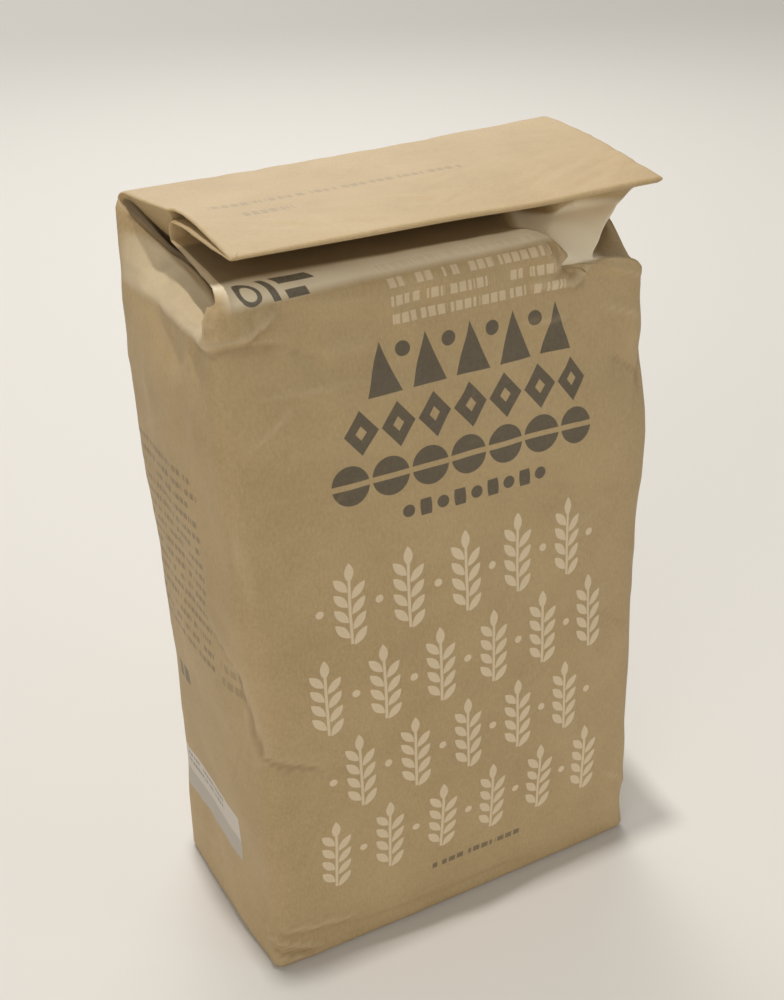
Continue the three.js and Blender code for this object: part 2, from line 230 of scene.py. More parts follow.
# A smooth curve through [station, value] pairs: a cubic between two pairs, whose slope at each pair is
# that of the line between its neighbours
def follow(pairs, at):
    stations, values = np.array(pairs, float).T
    last = len(values) - 1
    before = np.maximum(np.arange(last + 1) - 1, 0)
    after = np.minimum(np.arange(last + 1) + 1, last)
    slopes = (values[after] - values[before]) / (stations[after] - stations[before])
    i = np.clip(np.searchsorted(stations, at) - 1, 0, last - 1)
    span = stations[i + 1] - stations[i]
    t = np.clip((at - stations[i]) / span, 0, 1)
    line = values[i] + (values[i + 1] - values[i]) * t * t * (3 - 2 * t)
    return line + span * t * (1 - t) * ((1 - t) * slopes[i] - t * slopes[i + 1])


# Points from their three coordinates, each an array or a number
def stacked(x, y, z):
    return np.stack(np.broadcast_arrays(x, y, z), axis=-1).astype(float)


# A way over the top, seen from the side: each run is an arc, and its chord is the run times
# sin(half the bend) / (half the bend), in the direction of the run's middle
def onWay(name, face, stage, outside):
    top, runs = ways[name]
    y, z = follow(face, top) + 0 * stage, top + 0 * stage
    heading = np.radians(runs[0][1]) + 0 * stage
    for i, (run, start, bend) in enumerate(runs):
        share = np.clip(stage - 1 - i, 0, 1)
        turned = np.radians(bend) * share
        middle = np.radians(start) + turned / 2
        chord = run * share * np.sinc(turned / (2 * np.pi))
        y, z = y + chord * np.sin(middle), z + chord * np.cos(middle)
        heading = np.where(share > 0, np.radians(start) + turned, heading)
    return y, z, outside * np.cos(heading), -outside * np.sin(heading)


# How full a wall is at its stage: half a sine wave, which starts a twentieth of the way in at the foot
def swell(stage):
    return np.sin(np.pi * np.minimum(stage * 0.95 + 0.05, 1))


# The front: a plane between the two side faces that bulges as a parabola across, and over the top a
# blend of three ways: left, centre and pinched
def frontSheet(across, stage):
    across, stage = np.broadcast_arrays(across, stage)
    share = (across + 1) / 2
    pinched = smooth(across, follow(ways["pinchStart"], stage), follow(ways["pinchEnd"], stage))
    leftShare = 1 - smooth(across, -1, ways["leftEnds"])
    shares = [("left", leftShare), ("centre", 1 - leftShare - pinched), ("pinched", pinched)]
    height = stage * sum(part * ways[name][0] for name, part in shares)
    pinchTop = ways["pinched"][0]
    lean = follow(bag["rightFace"], pinchTop) - folds["frontRight"][0][1]
    right = follow(bag["rightFace"], height) - lean * smooth(height, bag["pinchLeanStart"], pinchTop)
    left = follow(bag["leftFace"], height)
    bulge = bag["frontBulge"] * (1 - across ** 2) * swell(stage)
    wall = stacked(left + (right - left) * share, follow(bag["frontFace"], height) - bulge, height)
    way = [sum(part * onWay(name, bag["frontFace"], stage, -1)[k] for name, part in shares)
           for k in range(4)]
    return overTop(stage, share, wall, -1, ("frontLeft", "frontRight"), way)


# A sheet's points and its outward directions: the wall's, and above it those on its way between the folds
def overTop(stage, share, wall, outside, ends, way):
    y, z, outY, outZ = way
    left, right = (follow(folds[name], stage) for name in ends)
    top = stacked(left + (right - left) * share, y, z)
    isWall = (stage <= 1)[..., None]
    outward = np.where(isWall, stacked(0, outside, 0), stacked(0 * share, outY, outZ))
    return np.where(isWall, wall, top), outward


# The back: the same, with one way, which ends as the flap's upper leaf
def backSheet(across, stage):
    across, stage = np.broadcast_arrays(across, stage)
    share = (across + 1) / 2
    height = stage * bag["backTop"]
    left, right = follow(bag["leftFace"], height), follow(bag["rightFace"], height)
    bulge = bag["backBulge"] * (1 - across ** 2) * swell(stage)
    wall = stacked(left + (right - left) * share, follow(bag["backFace"], height) + bulge, height)
    way = onWay("back", bag["backFace"], stage, 1)
    return overTop(stage, share, wall, 1, ("backLeft", "backRight"), way)


# A corner: a quadratic Bezier, which is near a quarter turn on the walls and a thin folded edge on top
def rounded(sheet, hand, stage, share):
    place, outward = sheet
    stage = np.broadcast_to(stage, place.shape[:2])
    thin = smooth(stage, 1, bag["foldStage"])
    radius = follow(bag["cornerRadius"], np.minimum(stage, 1))
    reach = radius + (bag["foldReach"] - radius) * thin
    thickness = radius + (bag["foldThickness"] - radius) * thin
    flat, nose, side = (1 - share) ** 2, 2 * share * (1 - share), share ** 2
    inward = flat * reach + side * bag["foldReach"] * thin
    under = (nose * bag["foldNose"] * thin + side) * thickness
    return place - hand * inward[..., None] * np.array([1, 0, 0]) - outward * under[..., None]


# A side panel's wall: between its two corners it bulges as a parabola, and its top follows the lip. Its part
# runs from 0 to 4, with its creases at 1 and 3.
def sidePanel(hand, part, stage):
    frontEdge = rounded(frontSheet(np.array([[hand]]), stage), hand, stage, 1.0)
    backEdge = rounded(backSheet(np.array([[hand]]), stage), hand, stage, 1.0)
    lip = tucks["leftLip"] if hand < 0 else tucks["rightLip"]
    moved = smooth(stage, *tucks["creaseMoves"])
    crease = tucks["footCrease"] + (tucks["lipCrease"] - tucks["footCrease"]) * moved
    way = np.where(part > 3, 1 - (4 - part) * crease, crease + (1 - 2 * crease) * (part - 1) / 2)
    way = np.where(part < 1, part * crease, way)
    wall = frontEdge + (backEdge - frontEdge) * way[..., None]
    bulge = bag["sideBulge"] * swell(stage) - bag["lipLean"] * smooth(stage, bag["lipLeanStart"], 1)
    wall[..., 0] += hand * bulge * 4 * way * (1 - way)
    wall[..., 2] = stage * follow(lip, way)
    tucked = tuckedPanel(hand, part, stage, frontEdge, backEdge, lip)
    place = np.where((stage > 1)[..., None], tucked, wall)
    return slanted(place, stage) if hand < 0 else place


# The left panel slants in and down from its long crease to its lip, most in its middle, and the tuck
# takes the move up further in
def slanted(place, stage):
    x, y, z = np.moveaxis(place, -1, 0)
    middle = smooth(y, *slant["front"]) * (1 - smooth(y, *slant["back"]))
    lip = follow(tucks["leftLip"], np.clip((y - slant["lipFront"]) / slant["lipLength"], 0, 1))
    onWall = np.clip((z - slant["crease"]) / (lip - slant["crease"]), 0, 1)
    onTuck = (1 - smooth(x, *slant["tuck"])) * (stage <= 3)
    share = middle * np.where(stage <= 1, onWall, onTuck)
    return place + stacked(share * slant["inward"], 0, -share * slant["down"])


# The tucked part: straight from each fold to its crease, and between the creases a floor at the lip's
# height less its roll, drawn up to the creases by a high power
def tuckedPanel(hand, part, stage, frontEdge, backEdge, lip):
    one, three = np.array([[1.0]]), np.array([[3.0]])
    lipFront = rounded(frontSheet(np.array([[hand]]), one), hand, one, 1.0)[0, 0]
    lipBack = rounded(backSheet(np.array([[hand]]), one), hand, one, 1.0)[0, 0]
    frontTip = frontSheet(np.array([[hand]]), three)[0][0, 0, 1]
    backTip = backSheet(np.array([[hand]]), three)[0][0, 0, 1]
    onRoof = stage <= 3
    fromFront = np.clip((frontEdge[..., 1] - lipFront[1]) / (frontTip - lipFront[1]), 0, 1)
    fromBack = np.clip((lipBack[1] - backEdge[..., 1]) / (lipBack[1] - backTip), 0, 1)
    fromFront, fromBack = np.where(onRoof, fromFront, 1), np.where(onRoof, fromBack, 1)
    deep = tucks["leftDepth"] if hand < 0 else tucks["rightDepth"]
    reach = deep + (tucks["hemDepth"] - deep) * np.clip(stage - 4, 0, 1)
    settled = smooth(stage, *tucks["settled"])
    lipSpan = (lipBack[1] - lipFront[1]) * tucks["lipCrease"]

    def creaseAt(edge, share, side, gap):
        start = follow(lip, tucks["lipCrease"] if side > 0 else 1 - tucks["lipCrease"])
        return stacked(edge[..., 0] - hand * reach * share, edge[..., 1] + side * lipSpan * (1 - share),
                       start + (edge[..., 2] + gap - start) * settled)

    gap = tucks["creaseGap"]
    frontCrease = creaseAt(frontEdge, fromFront, 1, np.where(onRoof, -gap, gap))
    backCrease = creaseAt(backEdge, fromBack, -1, -gap)
    share = np.clip((part - 1) / 2, 0, 1)
    between = frontCrease + (backCrease - frontCrease) * share[..., None]
    slot = between - stacked(hand * tucks["slotBow"] * 4 * share * (1 - share), 0, 0)

    def floorAt(place):
        way = np.clip((place[..., 1] - lipFront[1]) / (lipBack[1] - lipFront[1]), 0, 1)
        lipX = lipFront[0] + (lipBack[0] - lipFront[0]) * way - hand * bag["lipLean"] * 4 * way * (1 - way)
        return follow(lip, way) + follow(tucks["lipRoll"], np.abs(place[..., 0] - lipX))

    drawn = ((1 - share) ** tucks["draw"] * (frontCrease[..., 2] - floorAt(frontCrease))
             + share ** tucks["draw"] * (backCrease[..., 2] - floorAt(backCrease)))
    leaning = hand * bag["lipLean"] * 4 * share * (1 - share) * (1 - fromFront)
    mouth = stacked(between[..., 0] - leaning, between[..., 1], floorAt(between) + drawn)
    panel = np.where(onRoof[..., None], mouth, slot)
    first = frontEdge + (frontCrease - frontEdge) * np.clip(part, 0, 1)[..., None]
    last = backCrease + (backEdge - backCrease) * np.clip(part - 3, 0, 1)[..., None]
    return np.where((part <= 1)[..., None], first, np.where((part >= 3)[..., None], last, panel))


# The flap's unevenness: bell-shaped hills, a sag across its back edge and a twist along its hem
def onFlap(place, share):
    across = place[..., 0] / (bag["width"] / 2)
    forward = smooth(-place[..., 1], -bag["depth"] / 2, bag["depth"] / 2)
    rise = swollen(place[..., 0], place[..., 1], flap["hills"])
    rise = rise + (1 - forward) * (flap["climb"] * across - flap["sag"] * (1 - across ** 2))
    rise = rise - forward * flap["twist"] * across
    return place + stacked(0, 0, share * rise)


# One ring of columns for each stage: front, right side, back, left side, with the corners between them
def ringColumns(stage):
    stage = stage[:, None]
    frontShare = np.where(stage > 1, smooth(stage, 3, 4), 0)
    backShare = np.where(stage > 1, smooth(stage, 1, 2), 0)
    n, k, m = grid["front"], grid["corner"], grid["side"]

    def sheet(maker, flapShare):
        left, right = (rounded(maker(np.array([[hand]]), stage), hand, stage, 0.0)[..., 0]
                       for hand in (-1.0, 1.0))
        cells = np.arange(n + 1)[None, :] / n
        place = maker(cells * 2 - 1, stage)[0].copy()
        place[..., 0] = left + (right - left) * cells
        return onFlap(place, flapShare)

    def corner(maker, hand, share, flapShare):
        place, outward = (np.repeat(part, k, axis=1) for part in maker(np.array([[hand]]), stage))
        return onFlap(rounded((place, outward), hand, stage, share[None, :]), flapShare)

    def side(hand, part):
        part, high = np.broadcast_arrays(part[None, :], stage)
        flapShare = frontShare + (backShare - frontShare) * smooth(part / 4, 0.25, 0.75)
        return onFlap(sidePanel(hand, part, high), flapShare)

    up, down = np.arange(k) / k, np.arange(k, 0, -1) / k
    return np.concatenate([
        sheet(frontSheet, frontShare)[:, :n],
        corner(frontSheet, 1.0, up, frontShare),
        side(1.0, np.arange(m) / m * 4),
        corner(backSheet, 1.0, down, backShare),
        sheet(backSheet, backShare)[:, n:0:-1],
        corner(backSheet, -1.0, up, backShare),
        side(-1.0, np.arange(m, 0, -1) / m * 4),
        corner(frontSheet, -1.0, down, frontShare),
    ], axis=1)


# Each column's share of the way from the left end (-1) to the right end (1)
def columnReach():
    n, k, m = grid["front"], grid["corner"], grid["side"]
    half = n / 2 + k + m / 2
    side = n / 2 + k + np.minimum(np.arange(m), m - np.arange(m))
    otherSide = n / 2 + k + np.minimum(np.arange(m, 0, -1), m - np.arange(m, 0, -1))
    return np.concatenate([
        np.arange(n) - n / 2, n / 2 + np.arange(k), side, n / 2 + np.arange(k, 0, -1),
        np.arange(n, 0, -1) - n / 2, -n / 2 - np.arange(k), -otherSide, -n / 2 - np.arange(k, 0, -1),
    ]) / half


# Takes a wall point in towards the axis: the foot's rounding is a quarter circle
def onFoot(place):
    rise = 1 - np.minimum(place[..., 2] / bag["footRadius"], 1)
    inset = bag["footRadius"] * (1 - np.sqrt(1 - rise ** 2))
    scale = stacked(1 - inset / (bag["width"] / 2), 1 - inset / (bag["depth"] / 2), 1)
    return place * scale


# Every ring, from the base's middle line to the hem's nose, which is a line too. The nose is a half
# ellipse, and two columns at the same reach are partners that meet on it.
def bagRings():
    foot = 1 - np.cos(np.linspace(0, np.pi / 2, grid["footRings"], endpoint=False))
    footStage = bag["footRadius"] / bag["backTop"]
    walls = np.linspace(footStage * 1.1, 1, grid["wallRings"], endpoint=False)
    walls = np.concatenate([foot * bag["footRadius"] / bag["backTop"], walls])
    stages = [i + 1 + np.arange(count) / count for i, count in enumerate(grid["topRings"])]
    rings = onFoot(ringColumns(walls))
    top = ringColumns(np.concatenate(stages + [[5.0]]))
    reach = columnReach()
    middle = stacked(reach * (bag["width"] - bag["depth"]) / 2, 0, 0)
    inward = np.linspace(0, 1, grid["base"], endpoint=False)[:, None, None]
    base = middle + (rings[0] - middle) * inward
    same = (np.abs(reach[:, None] - reach[None, :]) < 1e-9) & ~np.eye(len(reach), dtype=bool)
    partner = np.where(same.any(1), same.argmax(1), np.arange(len(reach)))
    last, between = top[-1], (top[-1] + top[-1][partner]) / 2
    front = np.minimum(last[:, 1], last[partner, 1])
    nose = []
    for turn in np.radians(grid["noseTurns"]):
        sin, cos = np.sin(turn), np.cos(turn)
        place = between + (last - between) * cos
        place[:, 1] = last[:, 1] * cos + front * (1 - cos) - bag["hemNose"] * sin
        nose.append(place)
    alone = np.flatnonzero(partner == np.arange(len(reach)))
    nose[-1][alone] = nose[-1][alone + 1]  # the line's two ends join their neighbours, with no fin
    return np.concatenate([base, rings, top, np.array(nose)]), len(base), len(base) + len(rings)


# The lengths along the paper: round each ring from the front's middle, positive to the right and negative
# to the left as far as the back's middle, and up each column from the foot
def paperPlaces(rings, foot):
    columns, start = rings.shape[1], grid["front"] // 2
    step = np.linalg.norm(np.roll(rings, -1, axis=1) - rings, axis=2)
    walk = np.cumsum(np.roll(step, -start, axis=1), axis=1)
    from0 = np.concatenate([0 * walk[:, :1], walk[:, :-1]], axis=1)
    isRight = np.arange(columns) <= columns // 2
    around = np.roll(np.where(isRight[None, :], from0, from0 - walk[:, -1:]), start, axis=1)
    up = np.linalg.norm(np.diff(rings, axis=0), axis=2)
    up = np.concatenate([np.zeros((1, columns)), np.cumsum(up, axis=0)])
    return around, step, up - up[foot]


# A crease is a cusp, depth times e to the minus distance over reach, with its own reach on each side of
# its line. It fades towards both ends, a twentieth of its length beyond them.
def creased(across, height, lines):
    depth = 0 * across
    for (x0, z0), (x1, z1), deep, above, below, fade in lines:
        length = np.hypot(x1 - x0, z1 - z0)
        along = ((across - x0) * (x1 - x0) + (height - z0) * (z1 - z0)) / length ** 2
        off = ((height - z0) * (x1 - x0) - (across - x0) * (z1 - z0)) / length
        window = smooth(along, -0.05, fade) * (1 - smooth(along, 1 - fade, 1.05))
        depth = depth + deep * window * np.exp(-np.where(off > 0, off / above, -off / below))
    return depth


# Soft swells of the full bag: a bell in both directions
def swollen(across, height, bells):
    return sum(high * np.exp(-((across - x) / reachX) ** 2 - ((height - z) / reachZ) ** 2)
               for x, z, reachX, reachZ, high in bells)


# Small creases all over the paper, at random places and slopes, from one seed
def scattered(around, up):
    small = wrinkles["small"]
    pick, count = np.random.default_rng(small["seed"]), small["count"]
    x, z = pick.uniform(-small["across"], small["across"], count), pick.uniform(*small["up"], count)
    length, slope = pick.uniform(*small["length"], count), pick.uniform(0, np.pi, count)
    deep = pick.uniform(*small["depth"], count) * pick.choice([-1, 1], count)
    above, below = pick.uniform(*small["reach"], (2, count))
    dx, dz = length * np.cos(slope) / 2, length * np.sin(slope) / 2
    starts, ends = zip(x - dx, z - dz), zip(x + dx, z + dz)
    return creased(around, up, zip(starts, ends, deep, above, below, [small["fade"]] * count))


# A field of plane waves with random slopes, lengths and phases: near 1 in size, and smooth
def waves(around, up, field, count=24):
    pick = np.random.default_rng(field["seed"])
    slope, length = pick.uniform(0, np.pi, count), pick.uniform(*field["length"], count)
    phase = pick.uniform(0, 2 * np.pi, count)
    total = 0 * around
    for i in range(count):
        way = around * np.cos(slope[i]) + up * np.sin(slope[i])
        total = total + np.cos(2 * np.pi * way / length[i] + phase[i])
    return total / np.sqrt(count / 2)


# Moves the paper along its own normal, which is the cross product of the steps round and up the grid, by
# the sum of its wrinkles. A wall's wrinkles count by how squarely the paper faces out of that wall.
def wrinkled(rings, foot, roof):
    around, step, up = paperPlaces(rings, foot)
    roundStep = np.roll(rings, -1, axis=1) - np.roll(rings, 1, axis=1)
    normal = np.cross(roundStep, np.gradient(rings, axis=0))
    size = np.linalg.norm(normal, axis=2, keepdims=True)
    normal = normal / np.maximum(size, 1e-9)
    x, y, z = np.moveaxis(rings, 2, 0)
    onFront, onBack = np.clip(-normal[..., 1], 0, 1), np.clip(normal[..., 1], 0, 1)
    onLeft, onRight = np.clip(-normal[..., 0], 0, 1), np.clip(normal[..., 0], 0, 1)
    ring, last = np.arange(len(rings))[:, None], len(rings)
    wall = (ring < roof) & (ring >= foot)
    depth = onFront * (ring < roof + grid["topRings"][0]) * creased(x, z, wrinkles["front"])
    depth = depth + onFront * swollen(x, z, wrinkles["frontBells"])
    left = creased(-y, z, wrinkles["left"]) + swollen(-y, z, wrinkles["leftBells"])
    depth = depth + onLeft * wall * left
    depth = depth + onRight * wall * creased(y, z, wrinkles["right"])
    depth = depth + onBack * wall * creased(-x, z, wrinkles["back"])
    depth = depth + wall * (scattered(around, up) + creased(around, up, wrinkles["paper"]))
    creases = depth
    seam, (rising, falling) = x - bag["seamPlace"], bag["seamEdges"]
    lap = smooth(seam, 0, rising) * (1 - smooth(seam, bag["seamWidth"] - falling, bag["seamWidth"]))
    depth = depth + bag["seamRise"] * lap * onBack * (ring >= foot)
    depth = depth + wrinkles["broad"]["depth"] * waves(around, up, wrinkles["broad"]) * wall
    field, turn = wrinkles["ridges"], wrinkles["clearTurn"]
    ridge = field["middle"] - np.sqrt(waves(around, up, field) ** 2 + field["roundness"])
    grown = field["least"] + (1 - field["least"]) * smooth(up, *field["grows"])
    above = ring - roof
    turning = smooth(above, *turn[:2]) * (1 - smooth(above, *turn[2:]))
    share = np.where(wall, 1, field["onTop"] * (1 - turning))
    depth = depth + field["depth"] * ridge * grown * share
    low = np.where(ring < foot, 0, smooth(up, *wrinkles["clearFoot"]))
    hem = wrinkles["clearHem"]
    depth = depth * low * (1 - smooth(ring, last - hem[0], last - hem[1])) * (size[..., 0] > 1e-6)
    return rings + normal * depth[..., None], creases * low, around, step, up


# Makes the paper's mesh: quads from the grid, its lengths along the paper as a UV map, and as attributes
# where a crease stands out (worn) or goes in (painted shade), from the depth's second difference, and the
# painted shade inside the mouths
def makeBag():
    rings, foot, roof = bagRings()
    rings, creases, around, step, up = wrinkled(rings, foot, roof)
    base = rings[:foot]
    base[..., 2] = bottomFolds(base[..., 0], base[..., 1])
    rings = rings - np.array([bag["centre"][0], bag["centre"][1], 0])
    count, columns = rings.shape[:2]
    r, c = np.meshgrid(np.arange(count - 1), np.arange(columns), indexing="ij")
    right = (c + 1) % columns
    quads = np.stack([r * columns + c, r * columns + right,
                      (r + 1) * columns + right, (r + 1) * columns + c], -1)
    mesh = bpy.data.meshes.new("flourBag")
    mesh.vertices.add(count * columns)
    mesh.vertices.foreach_set("co", (rings * mm).ravel())
    mesh.loops.add(quads.size)
    mesh.loops.foreach_set("vertex_index", quads.ravel().astype(np.int32))
    mesh.polygons.add(len(quads) * columns)
    mesh.polygons.foreach_set("loop_start", np.arange(0, quads.size, 4, dtype=np.int32))
    mesh.update(calc_edges=True)
    places = mesh.uv_layers.new(name="paper")
    ahead = around + step
    u = np.stack([around[r, c], ahead[r, c], ahead[r + 1, c], around[r + 1, c]], -1)
    v = np.stack([up[r, c], up[r, right], up[r + 1, right], up[r + 1, c]], -1)
    places.data.foreach_set("uv", (np.stack([u, v], -1) * mm).ravel())
    near = sum(np.roll(creases, shift, axis) for shift in (1, -1) for axis in (0, 1))
    bend = (4 * creases - near) / wrinkles["fullWearAndShade"]
    inside = paintedMouthShade(count, columns, roof)
    # worn is wear on a crease's ridge; the valley's value and the mouths' value are painted shade
    for name, value in (("worn", bend), ("pressed", -bend), ("inside", inside)):
        made = mesh.attributes.new(name, "FLOAT", "POINT")
        made.data.foreach_set("value", np.clip(value, 0, 1).ravel())
    piece = bpy.data.objects.new("flourBag", mesh)
    bpy.context.scene.collection.objects.link(piece)
    joinDoubles(mesh)
    mesh.shade_smooth()
    mesh.materials.append(kraftPaper())
    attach(piece, "root")
    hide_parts("flour_bag")
    triangles = sum(len(face.vertices) - 2 for face in mesh.polygons)
    print("bag:", len(mesh.vertices), "vertices,", triangles, "triangles")


# The painted shade in the two mouths: how dark each is, and where that fades, in columns and in rings past
# the roof's start
mouths = {
    "left": 1,
    "right": 0.35,
    "columnFade": 3,
    "rings": (0, 5, 50, 54),
}


# Where shade is painted: 1 on the tucks' own paper, which lies inside the mouths, and 0 on the rest: smooth
# steps along both
def paintedMouthShade(count, columns, roof):
    n, k, m = grid["front"], grid["corner"], grid["side"]
    column, ring, fade = np.arange(columns), np.arange(count) - roof, mouths["columnFade"]
    panels = ((n + k, mouths["right"]), (2 * n + 3 * k + m, mouths["left"]))
    tucked = sum(dark * smooth(column - start, 0, fade) * (1 - smooth(column - start, m - fade, m))
                 for start, dark in panels)
    deep = smooth(ring, *mouths["rings"][:2]) * (1 - smooth(ring, *mouths["rings"][2:]))
    return tucked[None, :] * deep[:, None]


# The block bottom's folds, as the base's height: a flap over each end, and the wide ones' seam between
bottom = {
    "seamPlace": 3,
    "seamReach": 0.8,
    "seamFade": (0.5, 2),
    "seamRise": 0.3,
    "flapSlope": 0.9,  # of the end flaps' edges
    "flapEdge": 0.8,
    "flapRise": 0.25,
    "halfSize": (62, 34),
    "margin": (2, 4),
}


# The seam is a bell across its line, and an end flap is a smooth step over its slanting edges
def bottomFolds(x, y):
    edge = bag["width"] / 2 - bag["depth"] / 2 + np.abs(y) * bottom["flapSlope"]
    ends = smooth(np.abs(x) - edge, -bottom["flapEdge"], bottom["flapEdge"])
    off = y - bottom["seamPlace"]
    seam = bottom["seamRise"] * (1 - smooth(np.abs(off), *bottom["seamFade"])) * (1 - ends)
    halfX, halfY = bottom["halfSize"]
    flaps = bottom["flapRise"] * ends * smooth(halfY - np.abs(y), *bottom["margin"])
    flaps = flaps * smooth(halfX - np.abs(x), *bottom["margin"])
    return seam * np.exp(-(off / bottom["seamReach"]) ** 2) + flaps


# Merges the grid's points that coincide: the base's middle line, the hem's nose and the folds' ends
def joinDoubles(mesh):
    work = bmesh.new()
    work.from_mesh(mesh)
    bmesh.ops.remove_doubles(work, verts=work.verts, dist=grid["joined"])
    bmesh.ops.dissolve_degenerate(work, edges=work.edges, dist=grid["dropped"])
    work.to_mesh(mesh)
    work.free()


# A socket that takes arithmetic: an expression on sockets adds its Math nodes
class Wire:
    def __init__(self, tree, socket=None):
        self.tree, self.socket = tree, socket

    # Any node: its settings first, then the values or links of its sockets
    def add(self, kind, settings=None, inputs=None, output=0):
        made = self.tree.nodes.new("ShaderNode" + kind)
        for name, value in (settings or {}).items():
            if name == "stops":
                ramp = made.color_ramp
                for _ in range(len(value) - 2):
                    ramp.elements.new(0.5)
                for element, (at, colour) in zip(ramp.elements, value):
                    element.position, element.color = at, colour
            else:
                setattr(made, name, value)
        for name, value in (inputs or {}).items():
            if isinstance(value, Wire):
                self.tree.links.new(value.socket, made.inputs[name])
            else:
                made.inputs[name].default_value = value
        return Wire(self.tree, made.outputs[output] if made.outputs else None)

    def math(self, operation, *values):
        return self.add("Math", {"operation": operation}, dict(enumerate(values)))

    def __add__(self, other):
        return self.math("ADD", self, other)

    __radd__ = __add__

    def __sub__(self, other):
        return self.math("SUBTRACT", self, other)

    def __rsub__(self, other):
        return self.math("SUBTRACT", other, self)

    def __mul__(self, other):
        return self.math("MULTIPLY", self, other)

    __rmul__ = __mul__

    def __truediv__(self, other):
        return self.math("DIVIDE", self, other)

    def __mod__(self, other):
        return self.math("FLOORED_MODULO", self, other)

    def __abs__(self):
        return self.math("ABSOLUTE", self)

    def floor(self):
        return self.math("FLOOR", self)

    def most(self, other):
        return self.math("MAXIMUM", self, other)

    def squared(self):
        return self * self

    # The distance whose two legs are these: the root of the sum of their squares
    def far(self, other):
        return self.math("SQRT", self.squared() + other.squared())

    # 1 where the value is under a limit and 0 where it is over, by a smooth step
    def under(self, limit, soft=0.12):
        ends = {"From Min": limit - soft, "From Max": limit + soft, "To Min": 1, "To Max": 0}
        return self.add("MapRange", {"interpolation_type": "SMOOTHSTEP"}, {"Value": self, **ends})

    def over(self, limit, soft=0.12):
        return 1 - self.under(limit, soft)

    # 1 between two limits
    def within(self, low, high, soft=0.12):
        return abs(self - (low + high) / 2).under((high - low) / 2, soft)

    # From the first colour to the second as this goes from 0 to 1; sockets 6 and 7 are a Mix's colours
    def mixed(self, first, second):
        return self.add("Mix", {"data_type": "RGBA"}, {"Factor": self, 6: first, 7: second}, output=2)


# The print, in millimetres along the paper: U from the front's middle, V up from the foot. Each row of
# shapes has its two ends, its foot, its height and the pitch at which it repeats.
ink = {
    "dark": (0.068, 0.055, 0.036, 1),
    "cream": (0.78, 0.63, 0.42, 1),
    "white": (0.66, 0.60, 0.53, 1),
    "grey": (0.40, 0.36, 0.31, 1),
    "strength": {"dark": 0.9, "cream": 0.88, "white": 0.88, "grey": 0.6},
    "grain": (0.82, 0.26),  # how much ink the flecks let through: at least, and by their own value
    "wedges": {"left": -25.7, "right": 38.3, "bottom": 174.5, "tall": 13.5, "pitch": 12.8, "wide": 9.8,
               "soft": 0.3, "disc": 2.0, "discUp": 3.6, "discMargin": 3},
    "diamonds": {"left": -32.4, "right": 41.8, "bottom": 159.7, "tall": 12.5, "pitch": 10.6, "wide": 9.8,
                 "soft": 0.15, "hole": 2.0},
    "discs": {"left": -37.1, "right": 42.7, "bottom": 147.0, "tall": 11.2, "pitch": 11.4, "radius": 5.3,
              "slit": 0.75},
    "dots": {"left": -18.4, "right": 27.0, "bottom": 139.2, "tall": 4.6, "pitch": 5.05, "radius": 1.75,
             "squeeze": 0.62},
    "twigs": {"left": -51, "right": 51, "bottom": 24, "rows": 4, "columns": 6, "across": 17, "up": 27,
              "leaf": 4.6, "tilt": 40, "leafOut": 2.5, "leafHalf": 1.25, "leafLong": 3.05,
              "topHalf": 1.3, "topLong": 2.9, "topUp": 10.2, "stem": 0.42, "stemEnds": (-11.2, 8.4),
              "berry": 1.15, "berryMargin": 4, "soft": 0.1},
    # A ring and three bars: the ring's place and its two radii, and the bars' U and V from and to
    "ring": (-51, 206.5, 1.9, 3.1),
    "bars": [(-45.6, -43.6, 203.4, 209.6), (-41.6, -35.6, 203.4, 205.6), (-41.6, -31.0, 207.4, 209.6)],
    # Fields of dashes: from and to across, the foot, the rows and their pitch, a dash's height and
    # length, and how strong the ink is
    "dashes": {
        "frontTop": (-15, 35, 190.2, 4, 4.5, 2.5, 2.1, 0.7),
        "leftPanel": (-124, -82, 93, 15, 4.1, 1.7, 2.2, 0.55),
        "leftEdge": (-78, -66, 92, 2, 5.0, 2.6, 3.0, 0.3),
        "leftBold": (-124, -108, 72, 1, 7.5, 5.4, 4.5, 0.8),
        "rightPanel": (80, 108, 60, 17, 5.2, 1.8, 2.3, 0.6),
        "frontFoot": (-11, 21, 17.6, 1, 3.4, 1.9, 2.4, 0.75),
        "label": (-120, -92, 38, 2, 2.6, 1.2, 1.5, 0.7),
        "flapLong": (-51, 20, -1.5, 1, 3.4, 2.4, 2.1, 0.34),
        "flapShort": (-46, -32, -10, 1, 3.8, 3.0, 1.9, 0.34),
        "backTable": (-36, 14, 60, 15, 5.2, 1.8, 2.3, 0.7),
    },
    # A row's shift in the noise and its slip along itself, the gaps' pitch and half a dash as shares of
    # the dash's length, and the noise over which there is a dash
    "dash": {"shift": 17.3, "slip": 1.3, "cell": 1.2, "half": 0.46, "level": 0.42, "soft": 0.02},
    "border": {"x": -11, "v": 99, "halfWide": 29, "halfTall": 43, "line": 0.6, "strength": 0.7},
    "onFlap": (225, 110),  # the flap's top is over this V and this far round
    "onBack": (132, 6, 205),  # the back is this far round, and between these V
    "label": (-123, -80, 0.3, 28.5, 44, 0.3),
    "labelGrey": (35.5, 0.4),  # it is grey under this V, with this soft edge
}


